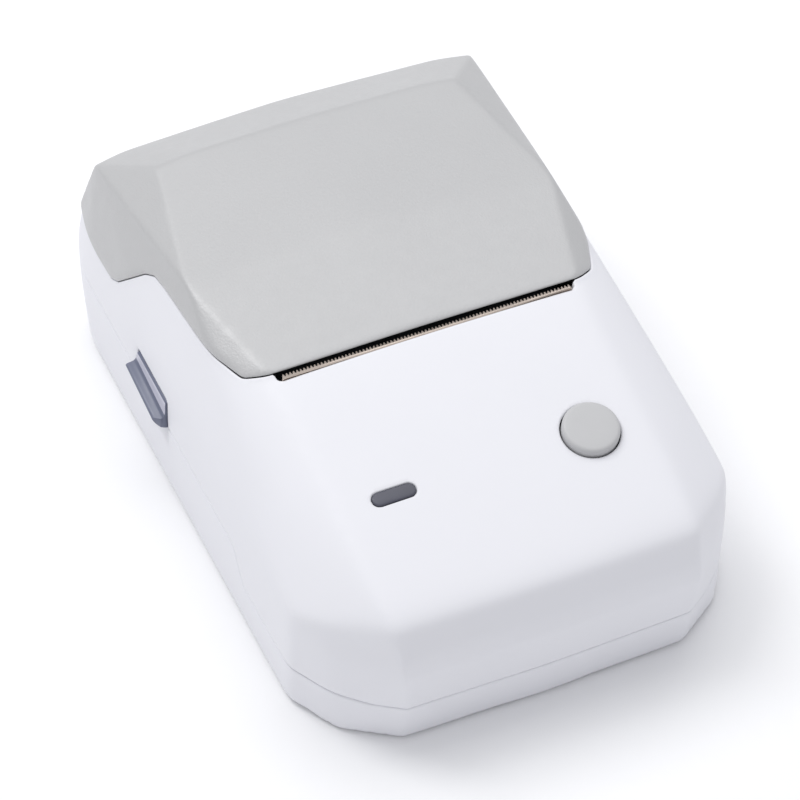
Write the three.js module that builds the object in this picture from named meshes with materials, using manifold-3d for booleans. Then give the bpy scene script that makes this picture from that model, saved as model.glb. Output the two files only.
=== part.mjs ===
// Pocket thermal label printer: a two-part casing, a rear-hinged lid that carries the platen
// roller, a print head and tear bar in the body, a drive train, a label bay with centring
// guides, and a release lever on each side that holds the platen shaft down.
// Millimetres. +X is the user's right, -Y the front, +Z up. The origin is under the middle of
// the casing, on the surface the rubber feet stand on.

import * as THREE from 'three';
import { ConvexGeometry } from 'three/addons/geometries/ConvexGeometry.js';
import { mergeVertices } from 'three/addons/utils/BufferGeometryUtils.js';
import Module from 'manifold-3d';

const wasm = await Module();
wasm.setup();

// ---- Driving dimensions -------------------------------------------------------------------

const HALF_WIDTH = 41.2;
const FOOT_DROP = 0.5; // how far the casing stands above the table
const WALL = 2.0;
const PARTING = 0.3; // gap between casing pieces
const FORM_MIDDLE_Y = -0.5;
const FORM_HALF_LENGTH = 63.3;
const FORM_MIDDLE_Z = 23.4;

const PANEL_SLOPE = THREE.MathUtils.degToRad(13.7);
const PANEL_Y = -38.3; // the button and the indicator lie on this line
const PANEL_Z = 35.3;
const BUTTON_X = 18.0;
const BUTTON_R = 5.0;
const BUTTON_HOLE_R = 5.25;
const LENS_LENGTH = 7.8;
const LENS_WIDTH = 2.5;

const LID_FRONT_Y = -10.6;
const SLOT_FRONT_Y = -12.4;
const SLOT_HALF_WIDTH = 27.7;
const BLADE_Y = -12.15; // front face of the tear bar
const HINGE_Y = 57.5;
const HINGE_Z = 28.0;
const BARREL_R = 2.2;
const HINGE_SEAT_R = 3.0;
const PIN_R = 1.0;

const GEAR_MODULE = 0.5;
const PINION_TEETH = 10;
const IDLER_TEETH = 24;
const PLATEN_TEETH = 16;
const GEAR_X0 = -31.6;
const GEAR_X1 = -30.0;
const PLATEN_Y = -3.5;
const PLATEN_Z = 32.5;
const PLATEN_R = 4.0;
const PLATEN_SHAFT_R = 1.2;
const IDLER_Y = -4.6;
const IDLER_Z = 22.56;
const MOTOR_Y = -10.55;
const MOTOR_Z = 16.49;
const MOTOR_R = 7.0;

// Each release lever turns about a pin along Y, just inside the side wall.
const LEVER_PIN_X = 39.4;
const LEVER_PIN_Z = 20.7;
const LEVER_PIN_R = 0.7;
const SPRING_SEAT_X = 35.0;
const SPRING_Y = 18.0;
const SPRING_Z = 17.4;
const HOOK_X0 = 31.95;
const HOOK_X1 = 33.0;
const SHAFT_HALF_LENGTH = 33.2;
const WINDOW = { y0: 8.3, y1: 22.4, z0: 14.6, z1: 22.3 };

const BAY_Y = 27.0;
const BAY_Z = 25.0;
const BAY_R = 20.4;
const GUIDE_PINION_Y = 47.0;
const GUIDE_MODULE = 0.8;
const GUIDE_TEETH = 12;
const GUIDE_PITCH_R = GUIDE_MODULE * GUIDE_TEETH / 2;

const USB_Y = -12.0; // the charging socket opens through the right side
const USB_Z = 7.4;

const SCREW_X = 34.0;
const SCREW_YS = [-38.0, 46.0];
const FOOT_X = 25.0;
const FOOT_YS = [-47.0, 50.0];
const BAY_HALF_WIDTH = 30.6;
const RACK_TOP = 5.4;
const RACK_BOTTOM = 3.0;

// ---- Colours ------------------------------------------------------------------------------

const finish = (color, roughness, metalness = 0) => ({ color, roughness, metalness });
const WHITE = finish(0xecebf2, 0.55);
const LID_GREY = finish(0xcfcfcd, 0.6);
const LINER_GREY = finish(0xb9babb, 0.6);
const BUTTON_GREY = finish(0xc4c6c2, 0.5);
const LEVER_BLUE = finish(0x8b90a3, 0.45);
const LENS_DARK = finish(0x4d5260, 0.25);
const FRAME_DARK = finish(0x3a3c40, 0.6);
const GUIDE_GREY = finish(0x8f949c, 0.5);
const GEAR_CREAM = finish(0xe4dfcf, 0.5);
const STEEL = finish(0xb9bbbf, 0.3, 0.9);
const ALUMINIUM = finish(0xc6c8cc, 0.35, 0.8);
const CERAMIC = finish(0xe6e3dc, 0.3);
const RUBBER = finish(0x1f2022, 0.85);
const BOARD_GREEN = finish(0x1d5a3c, 0.5);
const BATTERY_BLUE = finish(0x2f5f9f, 0.45);
const BLACK = finish(0x191a1c, 0.5);
const LED_WHITE = finish(0xf4f2e6, 0.3);

// ---- Solids -------------------------------------------------------------------------------

/** Turns a three.js geometry into a closed manifold solid. */
function solid(geometry) {
  const plain = geometry.clone();
  plain.deleteAttribute('normal');
  plain.deleteAttribute('uv');
  const welded = mergeVertices(plain, 1e-5);
  return new wasm.Manifold(new wasm.Mesh({
    numProp: 3,
    vertProperties: new Float32Array(welded.attributes.position.array),
    triVerts: new Uint32Array(welded.index.array),
  }));
}

/** A block between two corners. */
function block(x0, x1, y0, y1, z0, z1) {
  const geometry = new THREE.BoxGeometry(x1 - x0, y1 - y0, z1 - z0);
  geometry.translate((x0 + x1) / 2, (y0 + y1) / 2, (z0 + z1) / 2);
  return solid(geometry);
}

/** Extrudes a flat profile along +Z, from 0 to the given depth. */
function extruded(profile, depth) {
  const shape = new THREE.Shape(profile.map(([u, v]) => new THREE.Vector2(u, v)));
  return new THREE.ExtrudeGeometry(shape, { depth, bevelEnabled: false, steps: 1 });
}

/** A profile of [y, z] points run from x0 to x1. */
function prismX(profile, x0, x1) {
  const geometry = extruded(profile, x1 - x0);
  geometry.applyMatrix4(new THREE.Matrix4().makeBasis(
    new THREE.Vector3(0, 1, 0), new THREE.Vector3(0, 0, 1), new THREE.Vector3(1, 0, 0)));
  geometry.translate(x0, 0, 0);
  return solid(geometry);
}

/** A profile of [x, z] points run from y0 to y1. */
function prismY(profile, y0, y1) {
  const geometry = extruded(profile, y1 - y0);
  geometry.rotateX(Math.PI / 2);
  geometry.translate(0, y1, 0);
  return solid(geometry);
}

/** A profile of [x, y] points run from z0 to z1. */
function prismZ(profile, z0, z1) {
  const geometry = extruded(profile, z1 - z0);
  geometry.translate(0, 0, z0);
  return solid(geometry);
}

/** The points of a circle, or of part of one, counter-clockwise. */
function arc(cu, cv, r, from = 0, to = 360, count = 24) {
  const full = to - from >= 360;
  const steps = full ? count : count - 1;
  return Array.from({ length: count }, (_, i) => {
    const angle = THREE.MathUtils.degToRad(from + (to - from) * i / steps);
    return [cu + r * Math.cos(angle), cv + r * Math.sin(angle)];
  });
}

const rodX = (y, z, r, x0, x1, count = 24) => prismX(arc(y, z, r, 0, 360, count), x0, x1);
const rodY = (x, z, r, y0, y1, count = 24) => prismY(arc(x, z, r, 0, 360, count), y0, y1);
const rodZ = (x, y, r, z0, z1, count = 24) => prismZ(arc(x, y, r, 0, 360, count), z0, z1);

/** A stadium outline, long along the first axis. */
function stadium(cu, cv, length, width) {
  const r = width / 2;
  const half = length / 2 - r;
  return [...arc(cu + half, cv, r, -90, 90, 9), ...arc(cu - half, cv, r, 90, 270, 9)];
}

/** Moves a solid made flat at the origin onto the sloping panel at the given X. */
function onPanel(item, x) {
  const degrees = THREE.MathUtils.radToDeg(PANEL_SLOPE);
  return item.rotate([degrees, 0, 0]).translate([x, PANEL_Y, PANEL_Z]);
}

const union = (...items) => items.reduce((sum, item) => sum.add(item));
const cut = (item, ...tools) => tools.reduce((rest, tool) => rest.subtract(tool), item);

// ---- The outer form -----------------------------------------------------------------------

// Half of the casing's faceted form, as [x, y, z] corners, from the bottom up.
const FORM_CORNERS = [
  // bottom edge, with two short facets at every corner
  [0, -61.0, 0.5], [26.2, -60.2, 0.5], [35.1, -54.3, 0.5], [40.9, -45.6, 0.5],
  [40.9, 48.6, 0.5], [37.6, 55.8, 0.5], [27.0, 59.6, 0.5], [0, 60.2, 0.5],
  // level of the parting line
  [0, -62.7, 9.6], [26.1, -62.1, 9.6], [35.5, -54.5, 9.6], [41.2, -46.1, 9.6],
  [41.2, 51.0, 9.6], [38.6, 58.0, 9.6], [27.3, 61.8, 9.6], [0, 62.9, 9.6],
  // fullest level of the walls
  [0, -63.8, 19], [27.0, -63.2, 19], [35.7, -54.6, 19], [41.0, -46.0, 19],
  [41.0, 51.0, 19], [38.9, 58.2, 19], [27.4, 62.4, 19], [0, 63.8, 19],
  // soft roll from the front wall up to the control panel
  [0, -63.2, 24.8], [27.3, -62.6, 24.2], [0, -61.6, 28.4], [27.6, -61.0, 27.9],
  [0, -58.6, 30.4], [27.8, -58.0, 29.9],
  // top of the upright walls
  [35.5, -53.4, 25.5], [40.6, -47.0, 23.8],
  [40.9, -13.0, 27.0], [40.7, 10.0, 29.0], [40.2, 35.0, 28.2],
  [40.2, 47.0, 26.4], [38.2, 56.6, 26.4], [27.2, 60.5, 26.4], [0, 61.1, 26.4],
  // fold between the side slopes
  [35.2, -37.0, 31.9], [34.9, -5.0, 40.1], [34.4, 11.7, 44.6], [36.6, 51.0, 40.3],
  // edges of the control panel and of the lid's top
  [27.9, -51.5, 32.0], [28.2, -37.0, 35.6], [28.3, -12.5, 41.6], [28.5, 40.3, 46.0],
  [0, -51.5, 32.5], [0, -37.0, 36.2], [0, -12.5, 42.2], [0, 12.0, 46.1], [0, 41.0, 46.8],
  [22.0, 41.0, 46.4],
  // rear edge of the lid's top
  [30.6, 52.6, 40.1], [0, 53.9, 40.2],
];

/** The form as a convex solid, or the hollow inside it when inset by the wall. */
function form(inset = 0) {
  const shrinkX = 1 - inset / HALF_WIDTH;
  const shrinkY = 1 - inset / FORM_HALF_LENGTH;
  const shrinkZ = 1 - inset / (FORM_MIDDLE_Z - FOOT_DROP);
  const corners = FORM_CORNERS.flatMap(([x, y, z]) => {
    const side = x * shrinkX;
    const along = FORM_MIDDLE_Y + (y - FORM_MIDDLE_Y) * shrinkY;
    const up = FORM_MIDDLE_Z + (z - FORM_MIDDLE_Z) * shrinkZ;
    const right = new THREE.Vector3(side, along, up);
    return x === 0 ? [right] : [right, new THREE.Vector3(-side, along, up)];
  });
  return solid(new ConvexGeometry(corners));
}

const outer = form();
const hollow = form(WALL);

// Side view of the line where the upper casing meets the lower one: it steps up behind the
// front corners. Points are [y, z].
const SEAM = [[-80, 9.6], [-26, 9.6], [-22, 15.8], [80, 15.8]];

// Side view of the lid's lower edge: along the slope, down behind the roll, then level.
const LID_EDGE = [
  [LID_FRONT_Y, 41.75], [-8.1, 40.35], [-4, 40.4], [18, 39.4], [22, 38.9], [25, 37.1], [33.2, 28.7],
  [36, 27.1], [43, 26.4], [80, 26.4],
];

/** Everything above, or below, a side-view line lifted by the given amount. */
function aboveLine(line, lift) {
  const raised = line.map(([y, z]) => [y, z + lift]);
  return prismX([...raised, [80, 90], [line[0][0], 90]], -60, 60);
}

function belowLine(line, lift) {
  const raised = line.map(([y, z]) => [y, z + lift]).reverse();
  return prismX([[line[0][0], -20], [80, -20], ...raised], -60, 60);
}

const aboveSeam = aboveLine(SEAM, PARTING / 2);
const belowSeam = belowLine(SEAM, -PARTING / 2);
const lidSpace = aboveLine(LID_EDGE, 0);
const lidSpaceWithGap = aboveLine(LID_EDGE.map(([y, z]) => [y - PARTING, z - PARTING]), 0);

// ---- Casing -------------------------------------------------------------------------------

const SIDES = [['left', -1], ['right', 1]];
const ENDS = [['front', 0], ['rear', 1]];
const seamHeight = (end) => (end === 0 ? 9.6 : 15.8);

/** The four places where a foot or a screw goes, with the name each one takes. */
function corners(x, ys) {
  return ENDS.flatMap(([endName, end]) => SIDES.map(([sideName, side]) => ({
    name: `${endName}_${sideName}`, x: side * x, y: ys[end], end,
  })));
}

const leverWindows = SIDES.map(([, side]) => {
  const x0 = side > 0 ? 36 : -50;
  return block(x0, x0 + 14, WINDOW.y0, WINDOW.y1, WINDOW.z0, WINDOW.z1);
});

// A wedge-shaped hollow under each lever, for a fingertip.
const fingerScoops = SIDES.map(([, side]) => {
  const wedge = [[41.05, 10.2], [46, 10.2], [46, WINDOW.z0 + 0.1], [39.2, WINDOW.z0 + 0.1]];
  const ring = side > 0 ? wedge : wedge.map(([x, z]) => [-x, z]).reverse();
  return prismY(ring, WINDOW.y0 + 0.1, WINDOW.y1 - 0.1);
});

// The bosses beside each window that hold the ends of a lever's pin.
const leverBosses = SIDES.flatMap(([, side]) => [[5.8, 8.1], [22.6, 24.9]].map(([y0, y1]) => {
  const [x0, x1] = side > 0 ? [38.0, 39.8] : [-39.8, -38.0];
  return block(x0, x1, y0, y1, 18.9, 22.6);
}));

function makeLowerCasing() {
  let casing = cut(outer.intersect(belowSeam), hollow);
  for (const { x, y, end } of corners(SCREW_X, SCREW_YS)) {
    const pillar = rodZ(x, y, 3.2, 1.2, seamHeight(end) - PARTING / 2);
    casing = casing.add(pillar.intersect(outer));
    casing = cut(casing, rodZ(x, y, 1.3, -1, 30), rodZ(x, y, 2.2, -1, 5));
  }
  for (const { x, y } of corners(FOOT_X, FOOT_YS)) {
    casing = cut(casing, rodZ(x, y, 5.2, -1, 1.6));
  }
  for (const y of [-50, -4]) {
    for (const x of [-22, 22]) {
      casing = casing.add(rodZ(x, y, 2, 2, 4.2, 16));
    }
  }
  for (const [, side] of SIDES) {
    const x0 = side > 0 ? SPRING_SEAT_X - 1 : -SPRING_SEAT_X;
    casing = casing.add(block(x0, x0 + 1, SPRING_Y - 2.5, SPRING_Y + 2.5, 2, SPRING_Z + 2));
  }
  const usbMouth = prismX(stadium(USB_Y, USB_Z, 10.0, 4.2), 30, 60);
  return cut(casing, usbMouth, ...leverWindows, ...fingerScoops);
}

/** An ear of the upper casing that holds one hinge pin. */
function hingeEar(side) {
  const x0 = side > 0 ? 25 : -28;
  const profile = [
    ...arc(HINGE_Y, HINGE_Z, 2.6, 0, 180, 13), [HINGE_Y - 2.6, 20], [HINGE_Y + 2.6, 20],
  ];
  return prismX(profile, x0, x0 + 3);
}

function makeUpperCasing() {
  let casing = cut(outer.intersect(aboveSeam), hollow, lidSpaceWithGap);
  casing = cut(casing, rodX(HINGE_Y, HINGE_Z, HINGE_SEAT_R, -60, 60, 32));
  for (const { x, y, end } of corners(SCREW_X, SCREW_YS)) {
    const top = end === 0 ? 31 : 24;
    const column = rodZ(x, y, 3.0, seamHeight(end) + PARTING / 2, top);
    casing = cut(casing.add(column.intersect(outer)), rodZ(x, y, 1.15, 0, 22));
  }
  for (const [, side] of SIDES) {
    casing = casing.add(hingeEar(side));
    // rib that ties the rear screw column to the side wall
    const rib = side > 0 ? [SCREW_X + 2, 40.4] : [-40.4, -SCREW_X - 2];
    casing = casing.add(block(...rib, 45.2, 46.8, 16, 24).intersect(outer));
  }
  for (const boss of leverBosses) {
    casing = casing.add(boss.intersect(outer));
  }
  for (const [, side] of SIDES) {
    casing = cut(casing, rodY(side * LEVER_PIN_X, LEVER_PIN_Z, LEVER_PIN_R + 0.05, 6.2, 24.5, 16));
  }
  const slot = block(-SLOT_HALF_WIDTH, SLOT_HALF_WIDTH, SLOT_FRONT_Y, 0, 34, 60);
  const lidPassage = union(
    block(-34.6, 34.6, -5.4, 24, 35.4, 60),
    block(-31.9, 31.9, -8.7, 24, 35.4, 60),
  );
  const buttonHole = onPanel(rodZ(0, 0, BUTTON_HOLE_R, -6, 6, 40), BUTTON_X);
  const lensHole = onPanel(prismZ(stadium(0, 0, LENS_LENGTH + 0.3, LENS_WIDTH + 0.3), -6, 6), -BUTTON_X);
  const pinHole = rodX(HINGE_Y, HINGE_Z, PIN_R + 0.05, -60, 60);
  return cut(casing, slot, lidPassage, buttonHole, lensHole, pinHole, ...leverWindows, ...fingerScoops);
}

// ---- Lid ----------------------------------------------------------------------------------

function makeLidShell() {
  const rearCorner = cut(block(-60, 60, HINGE_Y, 80, 0, HINGE_Z), rodX(HINGE_Y, HINGE_Z, 2.65, -60, 60, 32));
  let lid = cut(outer.intersect(lidSpace), hollow, rearCorner);
  lid = lid.add(rodX(HINGE_Y, HINGE_Z, BARREL_R, -32, 32));
  const earSlots = SIDES.map(([, side]) => {
    const x0 = side > 0 ? 24.6 : -28.4;
    return block(x0, x0 + 3.8, 54.2, 70, 20, 31.2);
  });
  return cut(lid, ...earSlots, rodX(HINGE_Y, HINGE_Z, PIN_R + 0.15, -31.5, 31.5));
}

/** The liner under the lid: two cheeks that carry the platen, tied by a web. */
function makeLidFrame() {
  const cheek = [
    ...arc(PLATEN_Y, PLATEN_Z, 3.6, 180, 330, 9), [10, 37.2], [40, 40.0], [48, 37.6], [48, 40.2],
    [40, 42.6], [12, 42.2], [-4, 39.2], [-7.1, 38.0],
  ];
  const web = [
    [4.5, 38.9], [12, 40.8], [40, 41.2], [44, 39.4],
    [44, 40.8], [40, 42.6], [12, 42.2], [4.5, 40.4],
  ];
  const frame = union(prismX(cheek, -29.7, -28.0), prismX(cheek, 28.0, 29.7), prismX(web, -28.5, 28.5));
  return cut(frame, rodX(PLATEN_Y, PLATEN_Z, 2.2, -40, 40)).intersect(form(WALL + PARTING));
}

function bushing(side) {
  const x0 = side > 0 ? 27.7 : -29.9;
  const bore = rodX(PLATEN_Y, PLATEN_Z, PLATEN_SHAFT_R + 0.08, -40, 40);
  return cut(rodX(PLATEN_Y, PLATEN_Z, 2.1, x0, x0 + 2.2), bore);
}

// ---- Gears --------------------------------------------------------------------------------

const PRESSURE_ANGLE = THREE.MathUtils.degToRad(25);
const ADDENDUM = 0.75;
const DEDENDUM = 1.05;

/** The outline of a spur gear; turn rotates it, in radians, to put a tooth where it's wanted. */
function gearOutline(cu, cv, teeth, module, turn, slack = 0.06) {
  const pitchR = module * teeth / 2;
  const baseR = pitchR * Math.cos(PRESSURE_ANGLE);
  const tipR = pitchR + ADDENDUM * module;
  const rootR = pitchR - DEDENDUM * module;
  const involute = (angle) => Math.tan(angle) - angle;
  const halfTooth = Math.PI / (2 * teeth) - slack / pitchR;
  const halfAt = (r) => {
    const clamped = Math.max(r, baseR);
    return halfTooth + involute(PRESSURE_ANGLE) - involute(Math.acos(baseR / clamped));
  };
  const radii = [rootR, pitchR - 0.3 * module, pitchR + 0.1 * module, tipR];
  const outline = [];
  for (let tooth = 0; tooth < teeth; tooth += 1) {
    const middle = turn + 2 * Math.PI * tooth / teeth;
    for (const r of radii) {
      outline.push([cu + r * Math.cos(middle - halfAt(r)), cv + r * Math.sin(middle - halfAt(r))]);
    }
    for (const r of [...radii].reverse()) {
      outline.push([cu + r * Math.cos(middle + halfAt(r)), cv + r * Math.sin(middle + halfAt(r))]);
    }
  }
  return outline;
}

// Directions, in the side view, in which each pair of gears meshes.
const idlerToPlaten = Math.atan2(PLATEN_Z - IDLER_Z, PLATEN_Y - IDLER_Y);
const idlerToPinion = Math.atan2(MOTOR_Z - IDLER_Z, MOTOR_Y - IDLER_Y);

/** Turn of a gear whose tooth gap must face a tooth of its neighbour in the given direction. */
const gapFacing = (direction, teeth) => direction + Math.PI / teeth;

// The idler has a tooth on the line to the platen gear, which has a gap there.
const idlerTurn = idlerToPlaten;
const platenTurn = gapFacing(idlerToPlaten + Math.PI, PLATEN_TEETH);
// Where the idler's nearest tooth lies off the line to the pinion, the pinion turns to match.
const idlerStep = 2 * Math.PI / IDLER_TEETH;
const toothOffset = (idlerToPinion - idlerTurn) / idlerStep;
const idlerPhase = (toothOffset - Math.round(toothOffset)) * idlerStep;
const pinionTurn = gapFacing(idlerToPinion + Math.PI, PINION_TEETH) + idlerPhase * IDLER_TEETH / PINION_TEETH;

// ---- Drive --------------------------------------------------------------------------------

const motorBody = union(
  rodX(MOTOR_Y, MOTOR_Z, MOTOR_R, -28.0, -12.5, 32),
  rodX(MOTOR_Y, MOTOR_Z, 2.5, -12.5, -11.3),
);

const motorPinion = union(
  prismX(gearOutline(MOTOR_Y, MOTOR_Z, PINION_TEETH, GEAR_MODULE, pinionTurn), GEAR_X0, GEAR_X1),
  rodX(MOTOR_Y, MOTOR_Z, 0.9, GEAR_X1 - 0.2, -28.3, 16),
);

const idlerGear = cut(
  prismX(gearOutline(IDLER_Y, IDLER_Z, IDLER_TEETH, GEAR_MODULE, idlerTurn), GEAR_X0, GEAR_X1),
  rodX(IDLER_Y, IDLER_Z, 1.3, -40, 0),
);

const platenGear = cut(
  prismX(gearOutline(PLATEN_Y, PLATEN_Z, PLATEN_TEETH, GEAR_MODULE, platenTurn), GEAR_X0, GEAR_X1),
  rodX(PLATEN_Y, PLATEN_Z, PLATEN_SHAFT_R + 0.05, -40, 0),
);

const platenShaft = rodX(PLATEN_Y, PLATEN_Z, PLATEN_SHAFT_R, -SHAFT_HALF_LENGTH, SHAFT_HALF_LENGTH);
const platenRoller = cut(
  rodX(PLATEN_Y, PLATEN_Z, PLATEN_R, -27.2, 27.2, 36),
  rodX(PLATEN_Y, PLATEN_Z, PLATEN_SHAFT_R + 0.05, -40, 40),
);

// The print head leans with the paper path. headPoint steps along the face and away from the
// platen, from the line where the two meet.
const LEAN = THREE.MathUtils.degToRad(23);
const HEAD_Y = PLATEN_Y - (PLATEN_R + 0.3) * Math.cos(LEAN);
const HEAD_Z = PLATEN_Z - (PLATEN_R + 0.3) * Math.sin(LEAN);
const headPoint = (up, back) => [
  HEAD_Y - up * Math.sin(LEAN) - back * Math.cos(LEAN),
  HEAD_Z + up * Math.cos(LEAN) - back * Math.sin(LEAN),
];
const headSlab = (up0, up1, back0, back1, halfWidth) => prismX(
  [headPoint(up0, back0), headPoint(up1, back0), headPoint(up1, back1), headPoint(up0, back1)].reverse(),
  -halfWidth, halfWidth);

const printHead = headSlab(-5.5, 4.5, 0, 1.0, 27.4);
const heatSink = headSlab(-6.0, 6.0, 1.2, 4.0, 27.4);
const leafSpring = headSlab(-4.2, 5.0, 5.0, 5.4, 10);

function makeDriveFrame() {
  const plate = [[-22, 6.6], [3.6, 6.6], [3.6, 18], [1.0, 26.4], [-22, 26.4]];
  const left = prismX(plate, -29.6, -28.3);
  const right = prismX(plate, 28.3, 29.6);
  const beam = prismX([[-22, 24.9], [-13, 24.9], [-13, 26.4], [-22, 26.4]], -28.5, 28.5);
  const bracket = headSlab(-3.2, 4.6, 5.8, 7.2, 26);
  const post = rodX(IDLER_Y, IDLER_Z, 1.1, -32.2, -29.4);
  return cut(union(left, right, beam, bracket, post), rodX(MOTOR_Y, MOTOR_Z, 2.0, -40, -20));
}

/** The serrated blade that labels are torn against: a toothed lip on an upright strip. */
function makeTearBar() {
  const half = 26.8;
  const teeth = 84;
  const pitch = 2 * half / teeth;
  const comb = [[-half, 0]];
  for (let i = 0; i < teeth; i += 1) {
    const x = -half + i * pitch;
    comb.push([x + pitch * 0.1, 0.42], [x + pitch * 0.4, 0.9]);
    comb.push([x + pitch * 0.6, 0.9], [x + pitch * 0.9, 0.42]);
  }
  comb.push([half, 0]);
  const lip = prismZ(comb.reverse(), -0.35, 0).rotate([13.7, 0, 0]).translate([0, BLADE_Y, 41.45]);
  const upright = [
    [BLADE_Y, 37.0], [BLADE_Y + 0.4, 37.0], [BLADE_Y + 0.4, 41.3], [BLADE_Y + 0.1, 41.25],
  ];
  return lip.add(prismX(upright, -half, half));
}

// ---- Release levers -----------------------------------------------------------------------

/** One lever: the tab in its window, a shelf behind it, and the hook over the platen shaft. */
function makeLever(side) {
  const toSide = (x0, x1) => (side > 0 ? [x0, x1] : [-x1, -x0]);
  const tabSection = [
    [38.2, 15.2], [40.6, 15.4], [42.7, 16.9], [43.0, 17.6], [42.7, 18.0], [41.5, 18.3], [41.0, 18.8],
    [40.75, 19.6], [40.7, 21.9], [38.2, 21.9],
  ];
  const ring = side > 0 ? tabSection : tabSection.map(([x, z]) => [-x, z]).reverse();
  const tab = prismY(ring, WINDOW.y0 + 0.35, WINDOW.y1 - 0.35);
  const corner = [[41.0, 8], [44, 8], [44, 10.6]];
  const chamfer = prismZ(side > 0 ? corner : corner.map(([x, y]) => [-x, y]).reverse(), 10, 30);
  const shelf = block(...toSide(HOOK_X0, 38.3), WINDOW.y0 + 0.4, 12, 17.0, 19.5);
  const hook = [
    [12, 17], [12, 19.5], [3.2, 27], [1.4, 31], [1.4, 34.6], [0.8, 35.0], [-4.3, 35.0], [-4.3, 33.95],
    [-1.9, 33.95], [-1.9, 30], [0, 25], [8, 17],
  ];
  const lever = union(cut(tab, chamfer), shelf, prismX(hook, ...toSide(HOOK_X0, HOOK_X1)));
  return cut(lever, rodY(side * LEVER_PIN_X, LEVER_PIN_Z, LEVER_PIN_R + 0.05, 0, 30, 16));
}

const leverPin = (side) => rodY(side * LEVER_PIN_X, LEVER_PIN_Z, LEVER_PIN_R, 6.3, 24.4, 16);

/** The coil behind each tab that presses it outwards, wound about an axis along X. */
function makeLeverSpring(side) {
  const turns = 4;
  const radius = 1.3;
  const points = Array.from({ length: turns * 8 + 1 }, (_, i) => {
    const angle = 2 * Math.PI * i / 8;
    const along = side * (SPRING_SEAT_X + 0.3 + 2.0 * i / (turns * 8));
    return new THREE.Vector3(along, SPRING_Y + radius * Math.cos(angle), SPRING_Z + radius * Math.sin(angle));
  });
  const path = new THREE.CatmullRomCurve3(points);
  const wire = new THREE.Shape(arc(0, 0, 0.22, 0, 360, 5).map(([u, v]) => new THREE.Vector2(u, v)));
  return new THREE.ExtrudeGeometry(wire, { steps: turns * 9, extrudePath: path, bevelEnabled: false });
}

// ---- Label bay ----------------------------------------------------------------------------

function makeRollTray() {
  const trough = [
    ...arc(BAY_Y, BAY_Z, BAY_R + 1.2, 172, 368, 29), ...arc(BAY_Y, BAY_Z, BAY_R, 172, 368, 29).reverse(),
  ];
  const cheek = arc(BAY_Y, BAY_Z, BAY_R + 0.6, 174, 366, 25);
  const tray = union(
    prismX(trough, -BAY_HALF_WIDTH, BAY_HALF_WIDTH),
    prismX(cheek, 0.2 - BAY_HALF_WIDTH, 1.0 - BAY_HALF_WIDTH),
    prismX(cheek, BAY_HALF_WIDTH - 1.0, BAY_HALF_WIDTH - 0.2),
    block(-16, 16, 0.4, 6.4, 25.0, 26.2),
  );
  const slots = SIDES.map(([, side]) => {
    const [x0, x1] = side > 0 ? [8, 29.2] : [-29.2, -8];
    return block(x0, x1, 35.6, 43.4, 2, 16);
  });
  return cut(tray, ...slots);
}

/** A rack along X whose teeth face the guide pinion from one side of it. */
function rackOutline(sideY, tooth0) {
  const pitch = Math.PI * GUIDE_MODULE;
  const pitchLine = GUIDE_PINION_Y + sideY * GUIDE_PITCH_R;
  const tip = pitchLine - sideY * ADDENDUM * GUIDE_MODULE;
  const root = pitchLine + sideY * DEDENDUM * GUIDE_MODULE;
  const back = pitchLine + sideY * 3.2;
  const slope = Math.tan(PRESSURE_ANGLE);
  const half = pitch / 4 - 0.06;
  const outline = [];
  for (let i = 0; i < 13; i += 1) {
    const middle = tooth0 + i * pitch;
    const rise = ADDENDUM * GUIDE_MODULE * slope;
    const fall = DEDENDUM * GUIDE_MODULE * slope;
    outline.push([middle - half - fall, root], [middle - half + rise, tip]);
    outline.push([middle + half - rise, tip], [middle + half + fall, root]);
  }
  const first = outline[0][0];
  const last = outline[outline.length - 1][0];
  return { outline, back, first, last };
}

const GUIDE_X0 = 26.8;
const GUIDE_X1 = 28.3;

/** The rack that moves a label guide. The left one passes in front of the pinion. */
function makeRack(side) {
  const sideY = side > 0 ? 1 : -1;
  const pitch = Math.PI * GUIDE_MODULE;
  // The pinion has a tooth towards each rack, so each rack has a gap at the middle.
  const tooth0 = (side < 0 ? -9.5 : -3.5) * pitch;
  const { outline, back, first, last } = rackOutline(sideY, tooth0);
  const end = side * (GUIDE_X0 - 0.05);
  const root = outline[0][1];
  const ring = side < 0
    ? [[end, root], [end, back], [last, back], ...outline.reverse()].reverse()
    : [[end, root], [end, back], [first, back], ...outline];
  return prismZ(ring, RACK_BOTTOM, RACK_TOP);
}

/** One label guide: a cheek in the bay, and an arm through the tray's slot to its rack. */
function makeGuide(side) {
  const [x0, x1] = side > 0 ? [GUIDE_X0, GUIDE_X1] : [-GUIDE_X1, -GUIDE_X0];
  const cheek = [...arc(BAY_Y, BAY_Z, BAY_R - 0.6, 185, 355, 25), [45.5, 30], [36, 35], [18, 35], [8.5, 30]];
  // The right arm bridges the left rack on its way to its own.
  const bridge = RACK_TOP + 0.6;
  const arm = side < 0
    ? [[38.0, RACK_BOTTOM], [42.6, RACK_BOTTOM], [42.6, 15], [36.6, 15], [36.6, bridge]]
    : [[36.6, bridge], [52.4, bridge], [52.4, RACK_BOTTOM], [55.0, RACK_BOTTOM], [55.0, 7.4], [42.6, 8.2],
      [42.6, 15], [36.6, 15]];
  return union(prismX(cheek, x0, x1), prismX(arm, x0, x1));
}

const guidePinion = cut(
  prismZ(gearOutline(0, GUIDE_PINION_Y, GUIDE_TEETH, GUIDE_MODULE, Math.PI / 2), RACK_BOTTOM, RACK_TOP),
  rodZ(0, GUIDE_PINION_Y, 1.5, 0, 20, 16),
);
const guidePost = union(
  rodZ(0, GUIDE_PINION_Y, 1.3, 2.7, RACK_TOP + 0.4, 16),
  rodZ(0, GUIDE_PINION_Y, 3.0, RACK_TOP + 0.3, RACK_TOP + 1.2, 16),
);

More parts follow.
